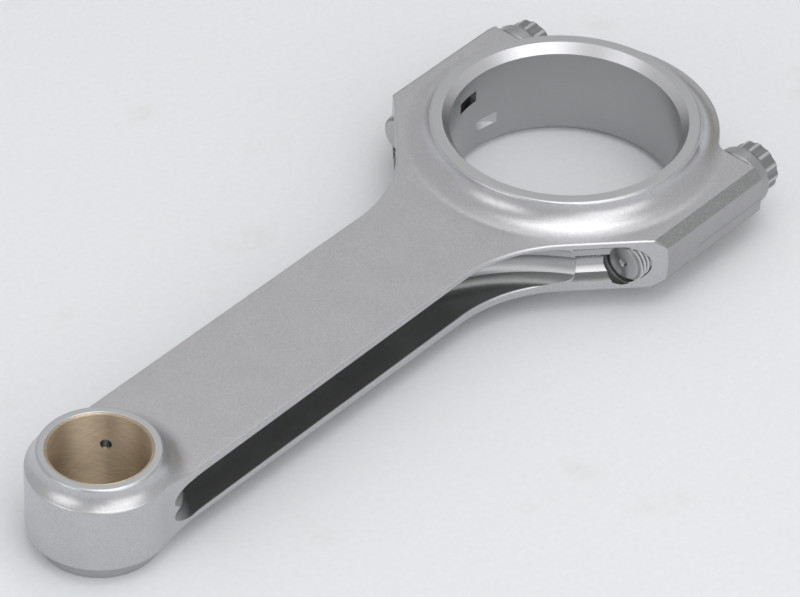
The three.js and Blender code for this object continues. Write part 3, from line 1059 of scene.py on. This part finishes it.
def peened_steel(name, level=0.55, roughness=0.31, speckle=0.46, depth=0.026, edge=0.22):
    """Shot-peened steel: fine pits, a fine sparkle and a slow change of tone."""
    graph, place_mm = new_material(name)
    grain = graph.noise(place_mm, 2.1, 3.0, 0.65)
    pits = graph.cells(place_mm, 2.2)
    cloud = graph.noise(place_mm, 0.11, 3.0, 0.55)
    colour = varied(graph, level, PEENED_TINT, [(grain, speckle), (cloud, 0.14)])
    rough = graph.plus(roughness - 0.05, graph.times(graph.noise(place_mm, 1.3, 2.0), 0.10))
    return finish(graph, colour, rough, [(pits, 0.5, depth), (grain, 0.5, depth)], edge=edge)


def turned_steel(name, level, roughness, edge=0.12):
    """Steel with fine tool lines running round the crankpin bore."""
    graph, place_mm = new_material(name)
    px, py, pz = graph.apart(place_mm)
    across = graph.plus(graph.times(pz, 6.0), graph.times(graph.hypot(px, py), 5.0))
    lines = graph.noise(graph.join(graph.times(px, 0.03), graph.times(py, 0.03), across), 1.0, 2.0)
    grain = graph.noise(place_mm, 3.5, 2.0)
    cloud = graph.noise(place_mm, 0.09, 2.0)
    colour = varied(graph, level, TURNED_TINT, [(lines, 0.10), (grain, 0.08), (cloud, 0.08)])
    rough = graph.plus(roughness - 0.04, graph.times(lines, 0.08))
    return finish(graph, colour, rough, [(lines, 0.35, 0.006), (grain, 0.3, 0.006)], edge=edge)


def rough_steel(name, level=0.34):
    """Dark speckled rough forged surface, as on the shoulder chamfers; in the tapped holes the same dark
    material is painted shade.
    """
    graph, place_mm = new_material(name)
    coarse = graph.noise(place_mm, 1.9, 4.0, 0.7)
    pits = graph.cells(place_mm, 1.7)
    colour = varied(graph, level, (0.97, 1.0, 0.97), [(coarse, 0.7), (pits, 0.3)])
    rough = graph.plus(0.38, graph.times(coarse, 0.2))
    return finish(graph, colour, rough, [(pits, 0.8, 0.03), (coarse, 0.9, 0.03)], edge=0.12)


def side_steel(name):
    """Peened shoulder side with the faint forging line along its lower half."""
    graph, place_mm = new_material(name)
    px, _, pz = graph.apart(place_mm)
    wander = graph.times(graph.minus(graph.noise(place_mm, 0.15), 0.5), 1.2)
    off = graph.math("ABSOLUTE", graph.minus(graph.plus(pz, wander), FORGING_LINE_Z))
    seam = graph.times(graph.spread(off, 0.7, 0.1), graph.spread(px, -6.0, 2.0))
    grain = graph.noise(place_mm, 1.9, 3.0, 0.65)
    cloud = graph.noise(place_mm, 0.2, 3.0, 0.6)
    level = varied(graph, 0.42, (1.0, 0.99, 1.01), [(grain, 0.36), (cloud, 0.18)])
    colour = graph.mix(graph.times(seam, 0.5), level, FORGING_LINE_COLOUR)
    rough = graph.plus(0.32, graph.times(grain, 0.1))
    return finish(graph, colour, rough, [(grain, 0.6, 0.025), (seam, -0.5, 0.03)], edge=0.2)


def channel_steel(name):
    """Channel walls painted darker than the flanges as shade in the recess; towards the open end lighter
    above the lower cusp and painted darker still below it as shade.
    """
    graph, place_mm = new_material(name)
    along, _, up = graph.apart(place_mm)
    tilt = graph.times(graph.minus(along, CHANNEL_LEVEL_X), CHANNEL_TILT)
    # towards the open end the band below the lower cusp is painted darker as shade, the rest lighter
    above_lower_cusp = graph.spread(graph.minus(up, tilt), MID_Z - CUSP - 0.1, MID_Z - CUSP + 0.15)
    wide = graph.spread(along, WIDE_FROM_X, WIDE_TO_X)
    shade_level = graph.minus(0.34, graph.times(wide, 0.12))
    grain = graph.noise(place_mm, 1.6, 4.0, 0.6)
    cloud = graph.noise(place_mm, 0.15, 2.0)
    mottle = graph.plus(graph.times(grain, 0.4), graph.times(cloud, 0.2))
    tone = graph.times(shade_level, graph.plus(0.7, mottle))
    dark = graph.join(tone, graph.times(tone, 1.02), tone)
    light = varied(graph, 0.43, (0.99, 0.995, 1.01), [(grain, 0.25), (cloud, 0.2)])
    colour = graph.mix(graph.times(wide, above_lower_cusp), dark, light)
    rough = graph.plus(0.36, graph.times(grain, 0.12))
    return finish(graph, colour, rough, [(grain, 0.6, 0.02)], edge=0.12)


def honing(graph, place_mm):
    """Two crossing sets of scratches that climb the bush as they run round it."""
    px, py, up = graph.apart(place_mm)
    angle = graph.math("ARCTAN2", py, graph.minus(px, EYE_X))
    scratches = []
    for lean in HONING_LEANS:
        turn = graph.plus(angle, graph.times(up, lean))
        path = graph.join(graph.math("COSINE", turn), graph.math("SINE", turn), graph.times(up, 0.012))
        scratches.append(graph.noise(path, 18.0, 5.0, 0.75))
    return graph.times(graph.plus(*scratches), 0.5)


def bronze(name):
    """Honed bronze, with highlights drawn out along the bore."""
    graph, place_mm = new_material(name)
    cross = honing(graph, place_mm)
    band = graph.noise(graph.join(0.0, 0.0, graph.times(graph.apart(place_mm)[2], 1.6)), 1.0, 2.0)
    cloud = graph.noise(place_mm, 0.16, 2.0)
    colour = varied(graph, 0.64, (1.05, 0.87, 0.645), [(cross, 1.5), (band, 0.12), (cloud, 0.15)])
    rough = graph.plus(0.42, graph.times(cross, 0.16))
    tangent = graph.add("ShaderNodeTangent", {}, direction_type="RADIAL", axis="Z").outputs[0]
    inputs = graph.tree.nodes["Principled BSDF"].inputs
    graph.set(inputs["Anisotropic"], 0.95)
    graph.set(inputs["Anisotropic Rotation"], 0.25)
    graph.set(inputs["Tangent"], tangent)
    return finish(graph, colour, rough, [(cross, 0.9, 0.018), (band, 0.2, 0.01)])


def bright_share(graph, px, radius):
    """How bright a screw is: painted highlights on the thread crests and head corners, and a lighter
    flange and tip.
    """
    tip_end = BOLT_TIP_X + 0.15
    past_tip = graph.math("GREATER_THAN", px, tip_end)
    threaded = graph.times(graph.math("LESS_THAN", px, THREAD_END_X), past_tip)
    headed = graph.math("GREATER_THAN", px, SEAT_X + FLANGE_LENGTH)
    past_seat = graph.math("GREATER_THAN", px, SEAT_X - 0.1)
    flange = graph.times(past_seat, graph.minus(1.0, headed))
    # painted highlights along the head ridges and the thread crests
    ridge = graph.times(graph.spread(radius, HEAD_RIDGE_LOW_R, HEAD_RIDGE_HIGH_R), headed)
    bright_mask = graph.times(graph.spread(radius, THREAD_ROOT_R, THREAD_CREST_R), threaded)
    tip = graph.math("LESS_THAN", px, tip_end)
    for area, share in ((ridge, 0.8), (flange, 0.3), (tip, 0.55)):
        bright_mask = graph.math("MAXIMUM", bright_mask, graph.times(area, share))
    return bright_mask


def screw_steel(name, y):
    """Dark alloy steel with fine turned lines: dark thread roots, and painted highlights on the thread
    crests and head corners.
    """
    graph, place_mm = new_material(name)
    px, py, pz = graph.apart(place_mm)
    across, over = graph.minus(py, y), graph.minus(pz, MID_Z)
    radius = graph.hypot(across, over)
    along = graph.join(graph.times(px, 7.0), graph.times(across, 0.1), graph.times(over, 0.1))
    lines = graph.noise(along, 1.0, 2.0)
    rings = graph.noise(graph.join(graph.times(radius, 6.0), 0.0, 0.0), 1.0, 2.0)
    grain = graph.noise(place_mm, 3.0, 3.0)
    plain = varied(graph, 0.29, (0.98, 1.0, 1.02), [(lines, 0.3), (rings, 0.25), (grain, 0.2)])
    bright = varied(graph, 0.68, (1.0, 1.0, 1.0), [(grain, 0.25)])
    colour = graph.mix(bright_share(graph, px, radius), plain, bright)
    rough = graph.plus(0.27, graph.times(lines, 0.12))
    return finish(graph, colour, rough, [(lines, 0.3, 0.008), (grain, 0.3, 0.006)], edge=0.12)


def table_top(name):
    """Matt white table covering with faint stains."""
    graph, place_mm = new_material(name)
    fibre = graph.noise(place_mm, 0.6, 4.0, 0.6)
    stain = graph.spread(graph.noise(place_mm, 0.035, 5.0, 0.6), 0.58, 0.8)
    cloud = graph.noise(place_mm, 0.008, 2.0)
    clean_top = varied(graph, 0.765, (0.985, 0.995, 1.012), [(fibre, 0.10), (cloud, 0.04)])
    colour = graph.mix(graph.times(stain, 0.26), clean_top, STAIN_COLOUR)
    return finish(graph, colour, 0.75, [(fibre, 0.25, 0.10)], metallic=0.0)


def forging_materials(prefix):
    """Materials of a forging, in the order of the zones."""
    return [
        peened_steel(prefix + "_peened"),
        turned_steel(prefix + "_bore", 0.44, 0.30),
        peened_steel(prefix + "_bore_chamfer", 0.68, 0.34, 0.16, 0.008, 0.12),
        rough_steel(prefix + "_rough_chamfer"),
        channel_steel(prefix + "_channel"),
        peened_steel(prefix + "_facet", 0.45, 0.26, 0.2, 0.012, 0.1),
        turned_steel(prefix + "_machined", 0.48, 0.30),
        turned_steel(prefix + "_thrust_face", 0.56, 0.31, edge=0.2),
        # the tapped holes take the dark rough material as painted shade
        rough_steel(prefix + "_tapped", 0.30),
        side_steel(prefix + "_side"),
        # slot levels: painted shade in the rod, painted light in the cap
        turned_steel(prefix + "_notch", NOTCH_PAINTED_LEVEL[prefix], 0.26),
    ]


# ---- assembly -----------------------------------------------------------

def dress(obj, materials, body, node):
    """Gives a piece its materials and hands it to the frame."""
    zones = [p.material_index for p in obj.data.polygons]
    obj.data.materials.clear()
    for material in materials:
        obj.data.materials.append(material)
    last = len(materials) - 1
    obj.data.polygons.foreach_set("material_index", [min(z, last) for z in zones])
    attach(obj, body)
    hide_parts(node)


def build_pieces():
    """Every piece, dressed and riding on its body."""
    whole = cut_forging()
    rod = split(whole, "forged_rod", -JOINT_GAP / 2, JOINT_CUT_REACH)
    cap = split(whole, "bearing_cap", -JOINT_CUT_REACH, JOINT_GAP / 2)
    bpy.data.objects.remove(whole)
    dress(rod, forging_materials("rod"), "rod", "rod_body")
    dress(cap, forging_materials("cap"), "cap", "rod_cap")
    dress(bush(), [bronze("bush_bronze")], "rod", "pin_bushing")
    ground = turned_steel("ground_steel", 0.5, 0.28)
    for side, y in (("left", BOLT_Y), ("right", -BOLT_Y)):
        screw = bolt("screw_" + side, y)
        steel = screw_steel("screw_steel_" + side, y)
        dress(screw, [steel], "bolt_" + side, "cap_bolt_" + side)
        dowel = sleeve("dowel_" + side, y)
        dress(dowel, [ground], "rod", "alignment_sleeve_" + side)


# ---- studio -------------------------------------------------------------

def build_floor():
    """Plain table under the object."""
    reach = FLOOR_REACH
    corners = [(-reach, -reach, 0), (reach, -reach, 0), (reach, reach, 0), (-reach, reach, 0)]
    mesh = bpy.data.meshes.new("table")
    mesh.from_pydata(corners, [], [(0, 1, 2, 3)])
    mesh.materials.append(table_top("table_top"))
    floor = bpy.data.objects.new("table", mesh)
    bpy.context.scene.collection.objects.link(floor)


def direction(azimuth, elevation):
    """Unit vector from the object at angles in degrees."""
    a, e = math.radians(azimuth), math.radians(elevation)
    return Vector((math.cos(a) * math.cos(e), math.sin(a) * math.cos(e), math.sin(e)))


def soft_light(name, azimuth, elevation, size, power, colour):
    """Softbox on a sphere around the object, turned towards it."""
    light = bpy.data.lights.new(name, "AREA")
    light.shape = "RECTANGLE"
    light.size, light.size_y = size
    light.energy = power
    light.color = colour
    obj = bpy.data.objects.new(name, light)
    towards = direction(azimuth, elevation)
    obj.location = towards * LIGHT_DISTANCE
    obj.rotation_euler = towards.to_track_quat("Z", "Y").to_euler()
    obj.visible_camera = False
    bpy.context.scene.collection.objects.link(obj)


def build_room():
    """Even light from the pale studio walls, with a dim corner low behind the object."""
    world = bpy.data.worlds.new("studio")
    bpy.context.scene.world = world
    graph = Graph(world)
    coords = graph.add("ShaderNodeTexCoord", {}).outputs["Generated"]
    facing = graph.add(
        "ShaderNodeVectorMath", {0: coords, 1: direction(*DIM_TOWARDS)}, operation="DOT_PRODUCT",
    ).outputs["Value"]
    outer, inner = (math.cos(math.radians(angle)) for angle in (DIM_OUTER, DIM_INNER))
    colour = graph.mix(graph.spread(facing, outer, inner), WALL_LIGHT, DIM_CORNER)
    graph.set(graph.tree.nodes["Background"].inputs["Color"], colour)


def build_lights():
    """All the softboxes."""
    for settings in SOFTBOXES:
        soft_light(*settings)


def build_camera():
    """Camera at the photographed angle."""
    data = bpy.data.cameras.new("camera")
    data.lens = CAMERA_LENS
    data.sensor_width = 36
    data.clip_end = 20
    camera = bpy.data.objects.new("camera", data)
    right, up = Vector(CAMERA_RIGHT), Vector(CAMERA_UP)
    back = right.cross(up)
    origin = Vector((BORE_X * MM, 0, 0)) + Vector(CAMERA_FROM_BORE)
    rows = [(right[i], up[i], back[i], origin[i]) for i in range(3)]
    camera.matrix_world = Matrix(rows + [(0, 0, 0, 1)])
    bpy.context.scene.collection.objects.link(camera)
    bpy.context.scene.camera = camera


build_pieces()
build_floor()
build_room()
build_lights()
build_camera()
bpy.context.scene.view_settings.view_transform = "Standard"
